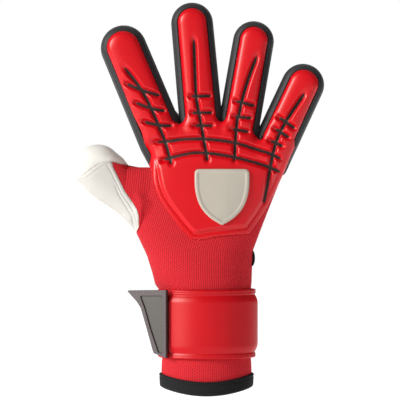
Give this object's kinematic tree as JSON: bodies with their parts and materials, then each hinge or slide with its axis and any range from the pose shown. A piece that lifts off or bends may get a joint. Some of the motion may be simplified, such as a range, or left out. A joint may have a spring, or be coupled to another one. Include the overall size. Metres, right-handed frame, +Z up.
{
  "type": "goalkeeper glove",
  "caption": "Right-hand goalkeeper's glove with a padded red back, black finger gussets, latex palm and thumb, wrist strap and pull tab.",
  "frame": {"origin": "centre of the cuff's opening, where the hand goes in", "axes": "+X across the hand towards the little finger, +Y from the back of the hand to the palm, +Z up along the fingers"},
  "size_m": [0.1828, 0.0564, 0.2879],
  "materials": {
    "panel_red": "satin embossed synthetic over foam",
    "gusset_black": "matt neoprene with a ridge seam",
    "channel_black": "matt",
    "palm_latex": "matt foam latex",
    "red_mesh": "knitted air mesh with a fine vertical rib",
    "lining": "soft brushed lining",
    "strap_red": "satin padded synthetic",
    "hook_and_loop": "matt napped tape",
    "tab_face": "moulded, matt",
    "tab_rim": "moulded, semi-matt, stitched",
    "badge_rubber": "moulded, smooth",
    "black_binding": "woven binding tape"
  },
  "bodies": {
    "cuff": {"cuff_binding": "black_binding", "cuff_lining": "lining", "cuff_sleeve": "red_mesh", "loop_patch": "hook_and_loop", "strap_band": "strap_red"},
    "strap": {"hook_patch": "hook_and_loop", "strap_panel": "strap_red", "strap_rims": "strap_red"},
    "tab": {"pull_tab": "tab_face", "pull_tab_rim": "tab_rim"},
    "hand": {"backhand_mesh": "red_mesh", "backhand_panel": "panel_red", "hand_side_wall": "red_mesh", "knuckle_channels": "channel_black", "palm_latex": "palm_latex", "palm_lining": "lining", "raised_badge": "badge_rubber", "side_loop": "black_binding", "wrist_mesh": "red_mesh"},
    "index_proximal": {"index_proximal_back": "panel_red", "index_proximal_channel": "channel_black", "index_proximal_gusset": "gusset_black", "index_proximal_palm": "palm_latex"},
    "index_distal": {"index_distal_back": "panel_red", "index_distal_channel": "channel_black", "index_distal_gusset": "gusset_black", "index_distal_palm": "palm_latex"},
    "middle_proximal": {"middle_proximal_back": "panel_red", "middle_proximal_channel": "channel_black", "middle_proximal_gusset": "gusset_black", "middle_proximal_palm": "palm_latex"},
    "middle_distal": {"middle_distal_back": "panel_red", "middle_distal_channel": "channel_black", "middle_distal_gusset": "gusset_black", "middle_distal_palm": "palm_latex"},
    "ring_proximal": {"ring_proximal_back": "panel_red", "ring_proximal_channel": "channel_black", "ring_proximal_gusset": "gusset_black", "ring_proximal_palm": "palm_latex"},
    "ring_distal": {"ring_distal_back": "panel_red", "ring_distal_channel": "channel_black", "ring_distal_gusset": "gusset_black", "ring_distal_palm": "palm_latex"},
    "little_proximal": {"little_proximal_back": "panel_red", "little_proximal_channel": "channel_black", "little_proximal_gusset": "gusset_black", "little_proximal_palm": "palm_latex"},
    "little_distal": {"little_distal_back": "panel_red", "little_distal_channel": "channel_black", "little_distal_gusset": "gusset_black", "little_distal_palm": "palm_latex"},
    "thumb_base": {"thumb_base_back": "palm_latex", "thumb_base_gusset": "palm_latex", "thumb_base_palm": "palm_latex"},
    "thumb_tip": {"thumb_tip_back": "palm_latex", "thumb_tip_gusset": "palm_latex", "thumb_tip_palm": "palm_latex"}
  },
  "joints": [
    {"name": "wrist_bend", "type": "hinge", "parent": "cuff", "child": "hand", "pos_m": [0, 0, 0.088], "axis": [-1, 0, 0], "range_deg": [-30, 30], "stiffness_Nm_per_rad": 0.6},
    {"name": "strap_open", "type": "hinge", "parent": "cuff", "child": "strap", "pos_m": [0.037, 0.0015, 0.04675], "axis": [0, 0, 1], "range_deg": [0, 110]},
    {"name": "tab_lift", "type": "hinge", "parent": "strap", "child": "tab", "pos_m": [-0.0294, -0.0198, 0.047], "axis": [0, 0, 1], "range_deg": [0, 60], "stiffness_Nm_per_rad": 0.01},
    {"name": "index_knuckle_bend", "type": "hinge", "parent": "hand", "child": "index_proximal", "pos_m": [-0.04382, 0.004, 0.20781], "axis": [-0.9225, 0, -0.3859], "range_deg": [0, 50], "stiffness_Nm_per_rad": 0.1},
    {"name": "index_middle_bend", "type": "hinge", "parent": "index_proximal", "child": "index_distal", "pos_m": [-0.05115, 0.004, 0.22534], "axis": [-0.9225, 0, -0.3859], "range_deg": [0, 60], "stiffness_Nm_per_rad": 0.1},
    {"name": "middle_knuckle_bend", "type": "hinge", "parent": "hand", "child": "middle_proximal", "pos_m": [-0.00616, 0.004, 0.2178], "axis": [-0.9959, 0, -0.0906], "range_deg": [0, 50], "stiffness_Nm_per_rad": 0.1},
    {"name": "middle_middle_bend", "type": "hinge", "parent": "middle_proximal", "child": "middle_distal", "pos_m": [-0.00797, 0.004, 0.23772], "axis": [-0.9959, 0, -0.0906], "range_deg": [0, 60], "stiffness_Nm_per_rad": 0.1},
    {"name": "ring_knuckle_bend", "type": "hinge", "parent": "hand", "child": "ring_proximal", "pos_m": [0.02797, 0.004, 0.21597], "axis": [-0.9851, 0, 0.1719], "range_deg": [0, 50], "stiffness_Nm_per_rad": 0.1},
    {"name": "ring_middle_bend", "type": "hinge", "parent": "ring_proximal", "child": "ring_distal", "pos_m": [0.03106, 0.004, 0.2337], "axis": [-0.9851, 0, 0.1719], "range_deg": [0, 60], "stiffness_Nm_per_rad": 0.1},
    {"name": "little_knuckle_bend", "type": "hinge", "parent": "hand", "child": "little_proximal", "pos_m": [0.05728, 0.004, 0.1925], "axis": [-0.9063, 0, 0.4226], "range_deg": [0, 50], "stiffness_Nm_per_rad": 0.1},
    {"name": "little_middle_bend", "type": "hinge", "parent": "little_proximal", "child": "little_distal", "pos_m": [0.06446, 0.004, 0.20791], "axis": [-0.9063, 0, 0.4226], "range_deg": [0, 60], "stiffness_Nm_per_rad": 0.1},
    {"name": "thumb_base_bend", "type": "hinge", "parent": "hand", "child": "thumb_base", "pos_m": [-0.05142, 0.004, 0.13232], "axis": [-0.7071, 0, -0.7071], "range_deg": [0, 30], "stiffness_Nm_per_rad": 0.1},
    {"name": "thumb_tip_bend", "type": "hinge", "parent": "thumb_base", "child": "thumb_tip", "pos_m": [-0.07122, 0.004, 0.15212], "axis": [-0.7071, 0, -0.7071], "range_deg": [0, 45], "stiffness_Nm_per_rad": 0.1}
  ]
}
